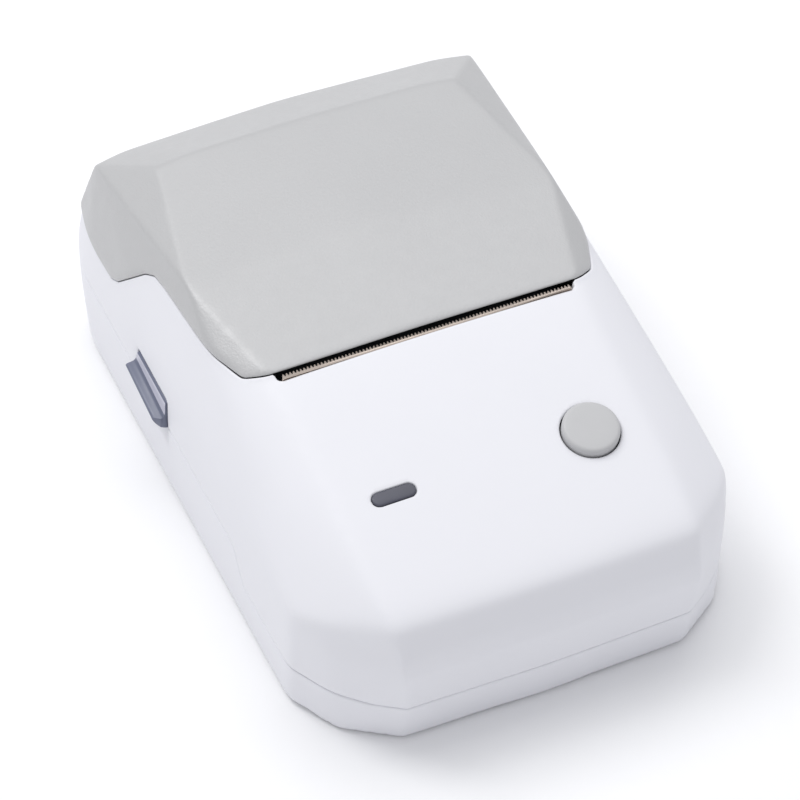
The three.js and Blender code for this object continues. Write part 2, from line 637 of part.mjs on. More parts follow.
// ---- Controls and electronics -------------------------------------------------------------

const powerButton = onPanel(union(
  solid(new THREE.LatheGeometry([
    new THREE.Vector2(0, -2.4), new THREE.Vector2(BUTTON_R, -2.4), new THREE.Vector2(BUTTON_R, 0.7),
    new THREE.Vector2(BUTTON_R - 0.5, 1.15), new THREE.Vector2(0, 1.3),
  ], 40).rotateX(Math.PI / 2)),
  rodZ(0, 0, 6.2, -3.4, -2.3, 40),
  rodZ(0, 0, 1.4, -5.2, -3.3, 16),
), BUTTON_X);

const indicatorLens = onPanel(union(
  prismZ(stadium(0, 0, LENS_LENGTH, LENS_WIDTH), -2.6, 0.1),
  prismZ(stadium(0, 0, LENS_LENGTH + 2, LENS_WIDTH + 2), -3.4, -2.5),
), -BUTTON_X);

const buttonBoard = onPanel(block(-26, 26, -6, 6, -9.0, -7.8), 0);
const tactSwitch = onPanel(block(-2.5, 2.5, -2.5, 2.5, -7.5, -6.2), BUTTON_X);
const statusLed = onPanel(block(-1.2, 1.2, -0.8, 0.8, -7.5, -6.6), -BUTTON_X);

const mainBoard = block(-29.6, 29.6, -52, -0.5, 4.5, 6.1);
const batteryPack = block(-28, 28, -54, -24.5, 7.4, 19.4);
const driverChip = block(4, 14, -20, -10, 6.4, 7.8);
const gapSensor = block(6, 13, 0.6, 4.4, 26.5, 28.2);

function makeUsbShell() {
  const shell = prismX(stadium(USB_Y, USB_Z, 8.9, 3.2), 32.5, 40.2);
  return cut(shell, prismX(stadium(USB_Y, USB_Z, 8.3, 2.6), 33.4, 70));
}
const usbTongue = block(33.7, 39.2, USB_Y - 3.3, USB_Y + 3.3, USB_Z - 0.35, USB_Z + 0.35);
const usbBoard = block(30.0, 38.8, USB_Y - 7, USB_Y + 7, 4.3, 5.4);

// ---- Assembly -----------------------------------------------------------------------------

const group = new THREE.Group();
group.name = 'thermal_label_printer';

/** Adds one named piece to the group. */
function piece(name, item, look) {
  let geometry = item;
  if (!item.isBufferGeometry) {
    const mesh = item.getMesh();
    geometry = new THREE.BufferGeometry();
    geometry.setAttribute('position', new THREE.BufferAttribute(new Float32Array(mesh.vertProperties), 3));
    geometry.setIndex(new THREE.BufferAttribute(new Uint32Array(mesh.triVerts), 1));
  }
  const node = new THREE.Mesh(geometry, new THREE.MeshStandardMaterial(look));
  node.name = name;
  group.add(node);
}

piece('lower_casing', makeLowerCasing(), WHITE);
piece('upper_casing', makeUpperCasing(), WHITE);
piece('lid_shell', makeLidShell(), LID_GREY);
piece('lid_frame', makeLidFrame(), LINER_GREY);
piece('tear_bar', makeTearBar(), STEEL);
piece('power_button', powerButton, BUTTON_GREY);
piece('indicator_lens', indicatorLens, LENS_DARK);
piece('button_board', buttonBoard, BOARD_GREEN);
piece('tact_switch', tactSwitch, BLACK);
piece('status_led', statusLed, LED_WHITE);
piece('main_board', mainBoard, BOARD_GREEN);
piece('driver_chip', driverChip, BLACK);
piece('battery_pack', batteryPack, BATTERY_BLUE);
piece('usb_board', usbBoard, BOARD_GREEN);
piece('usb_socket', makeUsbShell(), STEEL);
piece('usb_tongue', usbTongue, BLACK);
piece('drive_frame', makeDriveFrame(), FRAME_DARK);
piece('motor', motorBody, STEEL);
piece('motor_pinion', motorPinion, GEAR_CREAM);
piece('idler_gear', idlerGear, GEAR_CREAM);
piece('platen_gear', platenGear, GEAR_CREAM);
piece('platen_shaft', platenShaft, STEEL);
piece('platen_roller', platenRoller, RUBBER);
piece('print_head', printHead, CERAMIC);
piece('head_heat_sink', heatSink, ALUMINIUM);
piece('head_leaf_spring', leafSpring, STEEL);
piece('gap_sensor', gapSensor, BLACK);
piece('roll_tray', makeRollTray(), FRAME_DARK);
piece('guide_pinion', guidePinion, GEAR_CREAM);
piece('guide_post', guidePost, FRAME_DARK);

for (const [name, side] of SIDES) {
  piece(`lever_${name}`, makeLever(side), LEVER_BLUE);
  piece(`lever_pin_${name}`, leverPin(side), STEEL);
  piece(`lever_spring_${name}`, makeLeverSpring(side), STEEL);
  piece(`roll_guide_${name}`, makeGuide(side), GUIDE_GREY);
  piece(`guide_rack_${name}`, makeRack(side), GUIDE_GREY);
  piece(`platen_bushing_${name}`, bushing(side), BLACK);
  const pinEnds = side > 0 ? [22, 31] : [-31, -22];
  piece(`hinge_pin_${name}`, rodX(HINGE_Y, HINGE_Z, PIN_R, ...pinEnds), STEEL);
}

for (const { name, x, y } of corners(FOOT_X, FOOT_YS)) {
  piece(`foot_${name}`, rodZ(x, y, 5.0, 0, 1.3, 32), RUBBER);
}

for (const { name, x, y, end } of corners(SCREW_X, SCREW_YS)) {
  const screw = rodZ(x, y, 1.9, 3.2, 4.7, 24).add(rodZ(x, y, 1.0, 4.6, end === 0 ? 17 : 21, 16));
  piece(`case_screw_${name}`, screw, STEEL);
}

export default group;
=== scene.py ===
"""Looks of a pocket thermal label printer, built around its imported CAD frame.

The casing, its base and the lid are one soft, faceted form. Its facets are read from the CAD
nodes, blended into each other, and the skin is then parted along the same lines as the CAD.
Lengths are in millimetres until a mesh is made, and metres after that.
"""

import math

import bmesh
import bpy
import numpy as np
from mathutils import Matrix, Vector


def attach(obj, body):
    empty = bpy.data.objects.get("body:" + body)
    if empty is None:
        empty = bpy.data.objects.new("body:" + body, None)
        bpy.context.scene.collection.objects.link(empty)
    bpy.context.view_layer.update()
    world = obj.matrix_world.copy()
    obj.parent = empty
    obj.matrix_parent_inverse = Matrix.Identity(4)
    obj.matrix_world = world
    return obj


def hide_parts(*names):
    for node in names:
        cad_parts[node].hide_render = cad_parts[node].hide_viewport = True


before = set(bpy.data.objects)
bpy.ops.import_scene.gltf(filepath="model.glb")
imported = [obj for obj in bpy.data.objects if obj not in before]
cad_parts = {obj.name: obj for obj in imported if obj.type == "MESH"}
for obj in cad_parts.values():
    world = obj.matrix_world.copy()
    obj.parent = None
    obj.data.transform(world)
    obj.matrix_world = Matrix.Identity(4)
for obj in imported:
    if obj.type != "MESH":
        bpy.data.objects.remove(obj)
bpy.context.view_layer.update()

MM = 0.001

# ---- Driving sizes, in millimetres ---------------------------------------------------------

SKIN_STEP = 0.7  # spacing of the skin's mesh
CREASE = 0.42  # softness of the creases between the casing's facets
LID_CREASE = 0.1  # and between the lid's, which are crisper
WALL = 2.0
LID_WALL = 1.2
RIM_ROUND = 0.34  # rounding of the rims of casing and base
LID_RIM_ROUND = 0.2
SEAM_GAP = 0.16  # between casing and base
LID_GAP = 0.16  # between casing and lid
SHARP_ANGLE = 38.0  # degrees; an edge that turns by more is drawn sharp
OUTSIDE = -9.0  # what a region's field says on the sides of the form that it leaves alone

PANEL_SLOPE = math.radians(13.7)
PANEL_Y = -38.3
PANEL_Z = 35.3
CONTROL_X = 18.0  # the button is this far right of the middle, the indicator this far left
BUTTON_R = 5.0
BUTTON_GAP = 0.25
LENS_LENGTH = 7.8
LENS_WIDTH = 2.5
LENS_GAP = 0.12

LID_FRONT_Y = -10.6
SLOT_HALF_WIDTH = 27.7
SLOT_FRONT_Y = -12.1
SLOT_DEPTH = 8.0  # from front to rear; most of it is under the lid
SLOT_CORNER = 1.1
HINGE_Y = 57.5
HINGE_Z = 28.0
HINGE_SEAT_R = 3.0
BARREL_R = 2.2
BARREL_END = 32.0
EAR_X = 26.5  # middle of each hinge ear
EAR_HALF = 1.5
EAR_R = 2.6
EAR_SLOT_HALF = 1.9
CORNER_DROP = 0.3  # the casing is this much lower beside the barrel, where the lid swings past

WINDOW_MIDDLE = (15.35, 18.45)  # of a release lever's window, as y and z
WINDOW_HALF = (7.05, 3.85)
SCOOP_FOOT = (41.05, 10.2)  # a spot on the floor of the hollow below a lever, as x and z
SCOOP_NORMAL = (0.925, 0.38)  # and the way that floor faces
SCOOP_TOP = 16.0
SCOOP_SOFTNESS = 0.3
USB_MIDDLE = (-12.0, 7.4)
USB_HALF = (5.0, 2.1)
SCREW_SPOTS = [(x, y) for x in (-34.0, 34.0) for y in (-38.0, 46.0)]
SCREW_HOLE_R = 2.2

# Side views, as y and z: the opening in the casing, the lid, which stops above its hinge, and the
# base. Their far ends are outside the form.
OPENING = [
    (80, 90), (LID_FRONT_Y, 90), (LID_FRONT_Y, 41.75), (-8.1, 40.35), (-4, 40.4), (18, 39.4),
    (22, 38.9), (25, 37.1), (33.2, 28.7), (36, 27.1), (43, 26.4), (80, 26.4),
]
LID_EDGE = [*OPENING[:-1], (56.3, 26.4), (57.4, 28.15), (80, 28.15)]
SEAM = [(-80, -20), (-80, 9.6), (-26, 9.6), (-22, 15.8), (80, 15.8), (80, -20)]


# ---- Materials -----------------------------------------------------------------------------

def new_material(name):
    """A node material, with its node tree and its Principled shader."""
    material = bpy.data.materials.new(name)
    material.use_nodes = True
    tree = material.node_tree
    shader = tree.nodes["Principled BSDF"]
    return material, tree, shader


def noise(tree, size, detail=3.0):
    """Noise with features of the given size in millimetres, fixed to the piece."""
    coordinates = tree.nodes.new("ShaderNodeTexCoord")
    texture = tree.nodes.new("ShaderNodeTexNoise")
    texture.inputs["Scale"].default_value = 1 / (size * MM)
    texture.inputs["Detail"].default_value = detail
    texture.inputs["Roughness"].default_value = 0.55
    tree.links.new(coordinates.outputs["Object"], texture.inputs["Vector"])
    return texture.outputs["Fac"]


def spread(tree, value, low, high):
    """Maps the middle half of a 0 to 1 value, where noise mostly is, onto low to high."""
    node = tree.nodes.new("ShaderNodeMapRange")
    node.inputs["From Min"].default_value = 0.25
    node.inputs["From Max"].default_value = 0.75
    node.inputs["To Min"].default_value = low
    node.inputs["To Max"].default_value = high
    tree.links.new(value, node.inputs["Value"])
    return node.outputs["Result"]


def bump(tree, shader, value, height):
    """Raises the surface by a value, by the given height in millimetres."""
    node = tree.nodes.new("ShaderNodeBump")
    node.inputs["Distance"].default_value = height * MM
    node.inputs["Strength"].default_value = 1.0
    tree.links.new(value, node.inputs["Height"])
    tree.links.new(node.outputs["Normal"], shader.inputs["Normal"])


def tint(tree, shader, value, color, change):
    """Colours the shader, a little lighter and darker with the value."""
    ramp = tree.nodes.new("ShaderNodeValToRGB")
    ramp.color_ramp.elements[0].position = 0.3
    ramp.color_ramp.elements[1].position = 0.7
    ramp.color_ramp.elements[0].color = (*[c * (1 - change) for c in color], 1)
    ramp.color_ramp.elements[1].color = (*[min(1, c * (1 + change)) for c in color], 1)
    tree.links.new(value, ramp.inputs["Fac"])
    tree.links.new(ramp.outputs["Color"], shader.inputs["Base Color"])


def moulded(name, color, roughness, grain_size=0.35, grain_height=0.006, change=0.012, gloss=0.4):
    """Injection-moulded plastic: a fine grain, and a colour and a roughness that drift slightly."""
    material, tree, shader = new_material(name)
    shader.inputs["Specular IOR Level"].default_value = gloss
    drift = noise(tree, 18)
    tint(tree, shader, drift, color, change)
    patches = spread(tree, noise(tree, 2.2), roughness - 0.05, roughness + 0.05)
    tree.links.new(patches, shader.inputs["Roughness"])
    bump(tree, shader, noise(tree, grain_size, 4), grain_height)
    return material


def metal(name, color, roughness, stretch):
    """Sheet or turned metal with fine drawing lines along the axis that has the small stretch."""
    material, tree, shader = new_material(name)
    shader.inputs["Metallic"].default_value = 1.0
    coordinates = tree.nodes.new("ShaderNodeTexCoord")
    scaled = tree.nodes.new("ShaderNodeMapping")
    scaled.inputs["Scale"].default_value = stretch
    lines = tree.nodes.new("ShaderNodeTexNoise")
    lines.inputs["Scale"].default_value = 1 / (0.3 * MM)
    lines.inputs["Detail"].default_value = 3
    tree.links.new(coordinates.outputs["Object"], scaled.inputs["Vector"])
    tree.links.new(scaled.outputs["Vector"], lines.inputs["Vector"])
    tint(tree, shader, lines.outputs["Fac"], color, 0.06)
    dulled = spread(tree, lines.outputs["Fac"], roughness - 0.07, roughness + 0.1)
    tree.links.new(dulled, shader.inputs["Roughness"])
    bump(tree, shader, lines.outputs["Fac"], 0.003)
    return material


CASING = moulded("casing_plastic", (0.84, 0.84, 0.875), 0.5, grain_height=0.004, change=0.004)
LID = moulded(
    "lid_plastic", (0.49, 0.49, 0.491), 0.4, grain_size=0.45, grain_height=0.055, gloss=1.0)
# Painted shade: the liner under the lid is drawn near black, darker than its own grey, so the label
# slot looks shadowed.
LINER_PAINTED_SHADE = moulded("liner_painted_shade", (0.03, 0.032, 0.035), 0.6)
BUTTON = moulded("button_plastic", (0.55, 0.55, 0.553), 0.45, grain_size=0.2, grain_height=0.002)
LEVER = moulded(
    "lever_plastic", (0.15, 0.165, 0.235), 0.36, grain_size=0.3, grain_height=0.002, gloss=0.6)
# A painted highlight: a paler copy of the lever's plastic for the lip's outward faces, standing for
# the reflection they catch.
LEVER_LIP_PAINTED_HIGHLIGHT = moulded("lever_lip_painted_highlight", (0.6, 0.6, 0.69), 0.36, grain_size=0.3, grain_height=0.002)
LENS = moulded("lens_plastic", (0.084, 0.086, 0.112), 0.22, grain_size=0.6, change=0.2)
FRAME = moulded("frame_plastic", (0.035, 0.037, 0.041), 0.6, grain_height=0.012, change=0.08)
GUIDE = moulded("guide_plastic", (0.25, 0.27, 0.31), 0.5)
ACETAL = moulded("acetal", (0.76, 0.71, 0.60), 0.42, change=0.03)
BLACK = moulded("black_plastic", (0.012, 0.012, 0.014), 0.5, change=0.1)
RUBBER = moulded(
    "rubber", (0.028, 0.032, 0.038), 0.72, grain_size=0.25, grain_height=0.015, change=0.12)
BATTERY = moulded(
    "battery_wrap", (0.03, 0.10, 0.29), 0.3, grain_size=1.6, grain_height=0.02, change=0.06)
BOARD = moulded("board_green", (0.012, 0.085, 0.036), 0.32, grain_size=0.8, change=0.15)
CERAMIC = moulded("ceramic", (0.76, 0.73, 0.66), 0.25, grain_height=0.001, change=0.02)
LED = moulded("led_package", (0.87, 0.85, 0.76), 0.25, grain_height=0.001)
STEEL = metal("steel", (0.62, 0.63, 0.65), 0.3, (0.1, 1, 1))
BLADE = metal("blade_steel", (0.83, 0.72, 0.63), 0.34, (0.15, 1, 1))
ALUMINIUM = metal("aluminium", (0.74, 0.75, 0.77), 0.36, (0.08, 1, 1))


# ---- Meshes --------------------------------------------------------------------------------

def smooth_piece(name, mesh, material, sharp_angle=SHARP_ANGLE):
    """An object with the mesh, smooth but for edges past an angle in degrees."""
    piece = bpy.data.objects.new(name, mesh)
    bpy.context.scene.collection.objects.link(piece)
    mesh.shade_smooth()
    mesh.set_sharp_from_angle(angle=math.radians(sharp_angle))
    mesh.materials.append(material)
    return piece


def from_points(name, points, faces, material):
    """A smooth piece of points in millimetres."""
    mesh = bpy.data.meshes.new(name)
    mesh.from_pydata((points * MM).tolist(), [], faces)
    mesh.update()
    return smooth_piece(name, mesh, material)


def from_bmesh(name, bm, material, sharp_angle=SHARP_ANGLE):
    """A smooth piece of a bmesh in millimetres, which is used up."""
    bmesh.ops.recalc_face_normals(bm, faces=bm.faces)
    mesh = bpy.data.meshes.new(name)
    bmesh.ops.scale(bm, vec=(MM, MM, MM), verts=bm.verts)
    bm.to_mesh(mesh)
    bm.free()
    return smooth_piece(name, mesh, material, sharp_angle)


def place(piece, body, slot, *nodes):
    """Lets a piece ride on a body and stand for its CAD nodes. The slot is not used."""
    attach(piece, body)
    if nodes:
        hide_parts(*nodes)


def bevel_edges(bm, width, angle=30.0):
    """Rounds every edge of a bmesh that turns by more than the angle."""
    bm.normal_update()
    least = math.radians(angle)
    edges = [e for e in bm.edges if len(e.link_faces) == 2 and e.calc_face_angle() > least]
    bmesh.ops.bevel(
        bm, geom=edges, offset=width, offset_type="OFFSET", segments=3, profile=0.5,
        affect="EDGES", clamp_overlap=True)


def add_prism(bm, outline, low, high, axis):
    """Adds a prism: a flat outline, run from low to high along axis 0, 1 or 2."""
    others = [i for i in range(3) if i != axis]

    def corner(point, along):
        """A corner at a point of the outline and a place along the axis."""
        xyz = [0.0, 0.0, 0.0]
        xyz[others[0]], xyz[others[1]] = point
        xyz[axis] = along
        return bm.verts.new(xyz)

    bottom = [corner(p, low) for p in outline]
    top = [corner(p, high) for p in outline]
    bm.faces.new(bottom)
    bm.faces.new(top)
    for i in range(len(outline)):
        j = (i + 1) % len(outline)
        bm.faces.new((bottom[i], bottom[j], top[j], top[i]))


def arc(u, v, r, start=0.0, end=360.0, count=48):
    """Points of a circle, or of part of one, which has a point at either end."""
    steps = count if end - start >= 360 else count - 1
    angles = [math.radians(start + (end - start) * i / steps) for i in range(count)]
    return [(u + r * math.cos(a), v + r * math.sin(a)) for a in angles]


def stadium(length, width, count=17):
    """Points of a pill shape about the origin, with count of them round each end."""
    r = width / 2
    half = length / 2 - r
    return arc(half, 0, r, -90, 90, count) + arc(-half, 0, r, 90, 270, count)


def on_panel(bm, x):
    """Moves a bmesh made flat at the origin onto the sloping control panel."""
    turn = Matrix.Rotation(PANEL_SLOPE, 4, "X")
    shift = Matrix.Translation((x, PANEL_Y, PANEL_Z))
    bmesh.ops.transform(bm, matrix=shift @ turn, verts=bm.verts)


def turned(profile, steps=96):
    """A bmesh of a profile of radius and height points, turned about the Z axis. It starts and
    ends on the axis, where a ring is one point and the faces are triangles."""
    bm = bmesh.new()
    rings = []
    for r, z in profile:
        if r == 0:
            rings.append([bm.verts.new((0, 0, z))])
        else:
            rings.append([bm.verts.new((x, y, z)) for x, y in arc(0, 0, r, count=steps)])
    for low, high in zip(rings, rings[1:]):
        for i in range(steps):
            j = (i + 1) % steps
            around = [
                low[i % len(low)], low[j % len(low)], high[j % len(high)], high[i % len(high)]]
            bm.faces.new(list(dict.fromkeys(around)))
    return bm


# ---- The blended form ----------------------------------------------------------------------

def node_points(name):
    """A CAD node's vertices, in millimetres."""
    return np.array([v.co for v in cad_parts[name].data.vertices]) / MM


def casing_hull():
    """A bmesh of the convex outside of casing, base and lid, from their CAD nodes."""
    corners = np.vstack([node_points(n) for n in ("upper_casing", "lower_casing", "lid_shell")])
    bm = bmesh.new()
    for corner in np.unique(corners.round(3), axis=0):
        bm.verts.new(corner)
    bmesh.ops.convex_hull(bm, input=bm.verts)
    return bm


def form_planes():
    """The facets of the hull, as unit normals and distances. Triangles in nearly the same plane
    are one facet, and slivers are none."""
    same_way, same_distance, sliver = math.cos(math.radians(0.7)), 0.25, 0.8
    bm = casing_hull()
    bm.normal_update()
    found = []
    for face in sorted(bm.faces, key=lambda f: -f.calc_area()):
        normal = np.array(face.normal)
        distance = float(normal @ np.array(face.verts[0].co))
        known = any(
            normal @ n > same_way and abs(distance - d) < same_distance for n, d in found)
        if not known and face.calc_area() > sliver:
            found.append((normal, distance))
    bm.free()
    return np.array([n for n, _ in found]), np.array([d for _, d in found])


NORMALS, DISTANCES = form_planes()


def soft_max(a, slope_a, b, slope_b, softness):
    """The larger of two fields, blended where they are close, and its gradient."""
    share = np.clip(0.5 + 0.5 * (a - b) / softness, 0, 1)
    value = b * (1 - share) + a * share + softness * share * (1 - share)
    return value, slope_b * (1 - share)[:, None] + slope_a * share[:, None]


def finger_scoop(points):
    """How deep each point is inside the wedge-shaped hollow under a release lever, and the
    gradient of that. The hollow is between a slanting floor, two ends and a top."""
    x, y, z = points.T
    flat = np.zeros_like(x)
    floor = SCOOP_NORMAL[0] * (np.abs(x) - SCOOP_FOOT[0]) + SCOOP_NORMAL[1] * (z - SCOOP_FOOT[1])
    floor_slope = np.stack([SCOOP_NORMAL[0] * np.sign(x), flat, flat + SCOOP_NORMAL[1]], axis=1)
    ends = WINDOW_HALF[0] - 0.1 - np.abs(y - WINDOW_MIDDLE[0])
    ends_slope = np.stack([flat, -np.sign(y - WINDOW_MIDDLE[0]), flat], axis=1)
    top = SCOOP_TOP - z
    top_slope = np.stack([flat, flat, flat - 1], axis=1)
    most, slope = soft_max(-floor, -floor_slope, -ends, -ends_slope, SCOOP_SOFTNESS)
    most, slope = soft_max(most, slope, -top, -top_slope, SCOOP_SOFTNESS)
    return -most, -slope


def smooth_step(value):
    """0 below 0, 1 above 1, and a smooth rise between them."""
    share = np.clip(value, 0, 1)
    return share * share * (3 - 2 * share)


def crease_at(points):
    """How soft the creases are at each point: soft on the casing, crisp on the lid and low on
    the front corners. The lid's crispness begins 1 mm outside it."""
    on_lid = smooth_step((opening_region(points) + 1.0) / 2.2)
    low_down = smooth_step((27.0 - points[:, 2]) / 8.0)
    on_corner = low_down * smooth_step((-47.0 - points[:, 1]) / 6.0)
    crisp = np.maximum(on_lid, on_corner)
    return (CREASE + (LID_CREASE - CREASE) * crisp)[:, None]


def form_at(points):
    """How far each point is outside the blended form, and the gradient of that. The facets'
    heights are blended by the logarithm of a sum of exponentials, a soft form of their maximum."""
    heights = points @ NORMALS.T - DISTANCES
    top = heights.max(axis=1, keepdims=True)
    crease = crease_at(points)
    weights = np.exp((heights - top) / crease)
    total = weights.sum(axis=1, keepdims=True)
    blended = (top + crease * np.log(total))[:, 0]
    slope = (weights / total) @ NORMALS
    return soft_max(blended, slope, *finger_scoop(points), SCOOP_SOFTNESS)


def onto_form(points, level=0.0, rounds=3):
    """Moves points onto the form, or onto a copy of it this far outside."""
    for _ in range(rounds):
        value, slope = form_at(points)
        points = points - slope * ((value - level) / (slope ** 2).sum(axis=1))[:, None]
    return points


def form_skin():
    """An even triangle mesh of the blended form, as points and triangles."""
    bm = casing_hull()
    loose = [v for v in bm.verts if not v.link_faces]
    bmesh.ops.delete(bm, geom=loose, context="VERTS")
    mesh = bpy.data.meshes.new("form")
    bm.to_mesh(mesh)
    bm.free()
    form = bpy.data.objects.new("form", mesh)
    bpy.context.scene.collection.objects.link(form)
    remesh = form.modifiers.new("even", "REMESH")
    remesh.mode = "VOXEL"
    remesh.voxel_size = SKIN_STEP
    bpy.context.view_layer.update()
    evaluated = form.evaluated_get(bpy.context.evaluated_depsgraph_get())
    even = bpy.data.meshes.new_from_object(evaluated)
    even.calc_loop_triangles()
    points = np.array([v.co for v in even.vertices])
    triangles = np.array([t.vertices[:] for t in even.loop_triangles])
    bpy.data.objects.remove(form)
    bpy.data.meshes.remove(mesh)
    bpy.data.meshes.remove(even)
    return onto_form(points, rounds=5), triangles


# ---- Parting lines, as fields that are positive inside a region ----------------------------

def inside_outline(points, outline):
    """Signed distance of flat points to a closed outline, positive inside it."""
    nearest = np.full(len(points), 1e9)
    inside = np.zeros(len(points), bool)
    ring = np.array(outline, float)
    for a, b in zip(ring, np.roll(ring, -1, axis=0)):
        edge = b - a
        along = np.clip(((points - a) @ edge) / (edge @ edge), 0, 1)
        nearest = np.minimum(nearest, np.linalg.norm(points - a - along[:, None] * edge, axis=1))
        crosses = (a[1] > points[:, 1]) != (b[1] > points[:, 1])
        if a[1] != b[1]:
            meets = a[0] + (points[:, 1] - a[1]) * edge[0] / edge[1]
            inside ^= crosses & (points[:, 0] < meets)
    return np.where(inside, nearest, -nearest)


def softened(outline, most=1.0):
    """The outline with its corners cut off three times, so that they are round. No cut begins
    further than this from its corner."""
    ring = np.array(outline, float)
    for _ in range(3):
        after = np.roll(ring, -1, axis=0)
        edge = after - ring
        length = np.linalg.norm(edge, axis=1, keepdims=True)
        reach = np.minimum(0.25 * length, most)
        unit = edge / length
        ring = np.stack([ring + unit * reach, after - unit * reach], axis=1).reshape(-1, 2)
    return ring


LID_OUTLINE = softened(LID_EDGE, 0.3)
OPENING_OUTLINE = softened(OPENING, 0.3)
SEAM_OUTLINE = softened(SEAM)


def opening_region(points):
    """The opening in the casing, which the lid closes."""
    return inside_outline(points[:, 1:], OPENING_OUTLINE)


def lid_region(points):
    """The lid, which stops above the hinge barrel but reaches down beside its ends."""
    beside = np.minimum(opening_region(points), np.abs(points[:, 0]) - BARREL_END)
    return np.maximum(inside_outline(points[:, 1:], LID_OUTLINE), beside)


def base_region(points):
    """Everything below the seam between casing and base."""
    return inside_outline(points[:, 1:], SEAM_OUTLINE)


def rounded_box(u, v, half_u, half_v, r):
    """Signed distance to a flat rounded rectangle about the origin, positive inside."""
    du = np.abs(u) - half_u + r
    dv = np.abs(v) - half_v + r
    outside = np.hypot(np.maximum(du, 0), np.maximum(dv, 0))
    return r - outside - np.minimum(np.maximum(du, dv), 0)


def window_region(points):
    """The windows that the two release levers stand in."""
    inside = rounded_box(
        points[:, 1] - WINDOW_MIDDLE[0], points[:, 2] - WINDOW_MIDDLE[1], *WINDOW_HALF, 0.4)
    return np.where(np.abs(points[:, 0]) > 30, inside, OUTSIDE)


def slot_region(points):
    """The label slot in front of the lid."""
    half = SLOT_DEPTH / 2
    inside = rounded_box(
        points[:, 0], points[:, 1] - (SLOT_FRONT_Y + half), SLOT_HALF_WIDTH, half, SLOT_CORNER)
    return np.where(points[:, 2] > 30, inside, OUTSIDE)


def panel_places(points, x):
    """Where points are on the control panel, measured from a spot at the given x."""
    forward, up = points[:, 1] - PANEL_Y, points[:, 2] - PANEL_Z
    return points[:, 0] - x, forward * math.cos(PANEL_SLOPE) + up * math.sin(PANEL_SLOPE)


def control_regions(points):
    """The holes for the button and the indicator lens."""
    u, v = panel_places(points, CONTROL_X)
    button = BUTTON_R + BUTTON_GAP - np.hypot(u, v)
    u, v = panel_places(points, -CONTROL_X)
    half_width = LENS_WIDTH / 2 + LENS_GAP
    lens = rounded_box(u, v, LENS_LENGTH / 2 + LENS_GAP, half_width, half_width - 0.001)
    return np.where(points[:, 2] > 30, np.maximum(button, lens), OUTSIDE)


def usb_region(points):
    """The pill-shaped hole for the charging inlet, on the right."""
    inside = rounded_box(
        points[:, 1] - USB_MIDDLE[0], points[:, 2] - USB_MIDDLE[1], *USB_HALF, USB_HALF[1] - 0.05)
    return np.where(points[:, 0] > 30, inside, OUTSIDE)


def screw_region(points):
    """The screw holes in the underside."""
    distances = [np.hypot(points[:, 0] - x, points[:, 1] - y) for x, y in SCREW_SPOTS]
    return np.where(points[:, 2] < 3, SCREW_HOLE_R - np.min(distances, axis=0), OUTSIDE)


def ear_slot_region(points):
    """The slots at the back of the lid that the hinge ears stand in."""
    inside = rounded_box(
        np.abs(points[:, 0]) - EAR_X, points[:, 2] - (HINGE_Z - 2), EAR_SLOT_HALF, 5.0, 0.4)
    return np.where(points[:, 1] > 50, inside, OUTSIDE)


def upper_piece(points):
    """The casing: what is above the seam, outside the opening and in none of the holes."""
    at_corner = smooth_step(np.abs(points[:, 0]) - BARREL_END + 1) * smooth_step(points[:, 1] - 54)
    away = [
        -base_region(points) - SEAM_GAP / 2,
        -opening_region(points) - LID_GAP - CORNER_DROP * at_corner,
        -slot_region(points), -window_region(points), -control_regions(points),
    ]
    return np.min(away, axis=0)


def base_piece(points):
    """The base: what is below the seam and in none of the holes."""
    away = [
        base_region(points) - SEAM_GAP / 2, -window_region(points), -usb_region(points),
        -screw_region(points),
    ]
    return np.min(away, axis=0)


def lid_piece(points):
    """The lid, but for the slots that the hinge ears stand in."""
    return np.minimum(lid_region(points), -ear_slot_region(points))


# ---- Cutting the skin ----------------------------------------------------------------------

def split_along(points, triangles, locked, field, level):
    """Adds mesh edges where the field has the level. Corners close to the line move onto it,
    but for locked ones, which are on an earlier line. The points are changed in place."""
    close_share = 0.3
    value = field(points) - level
    value[np.abs(value) < 1e-4] = 0.0
    edges = np.unique(np.sort(triangles[:, [0, 1, 1, 2, 2, 0]].reshape(-1, 2), axis=1), axis=0)
    a, b = edges[value[edges[:, 0]] * value[edges[:, 1]] < 0].T
    share = value[a] / (value[a] - value[b])
    crossing = points[a] + share[:, None] * (points[b] - points[a])
    for corner, close in ((a, share < close_share), (b, share > 1 - close_share)):
        moves = close & ~locked[corner]
        points[corner[moves]] = crossing[moves]
        value[corner[moves]] = 0.0
    crossed = value[edges[:, 0]] * value[edges[:, 1]] < 0
    a, b = edges[crossed].T
    share = value[a] / (value[a] - value[b])
    added = points[a] + share[:, None] * (points[b] - points[a])
    key = a.astype(np.int64) * len(points) + b
    first_new = len(points)

    def new_corner(p, q):
        """The added points on the edges from p to q."""
        low, high = np.minimum(p, q), np.maximum(p, q)
        return first_new + np.searchsorted(key, low.astype(np.int64) * first_new + high)

    points = np.vstack([points, added])
    locked = np.concatenate([locked | (value == 0), np.ones(len(added), bool)])
    sign = np.sign(value)[triangles]
    whole = ~((sign.min(axis=1) < 0) & (sign.max(axis=1) > 0))
    made = [triangles[whole]]
    for turn in range(3):
        p, q, r = triangles[~whole][:, [turn, (turn + 1) % 3, (turn + 2) % 3]].T
        sp, sq, sr = (np.sign(value)[c] for c in (p, q, r))
        through = sp == 0
        if through.any():
            p0, q0, r0 = p[through], q[through], r[through]
            middle = new_corner(q0, r0)
            made += [np.stack([p0, q0, middle], 1), np.stack([p0, middle, r0], 1)]
        apart = (sp != 0) & (sq == sr) & (sq == -sp)
        if apart.any():
            p0, q0, r0 = p[apart], q[apart], r[apart]
            pq, pr = new_corner(p0, q0), new_corner(p0, r0)
            made += [
                np.stack([p0, pq, pr], 1), np.stack([pq, q0, r0], 1), np.stack([pq, r0, pr], 1)]
    return points, np.vstack(made), locked


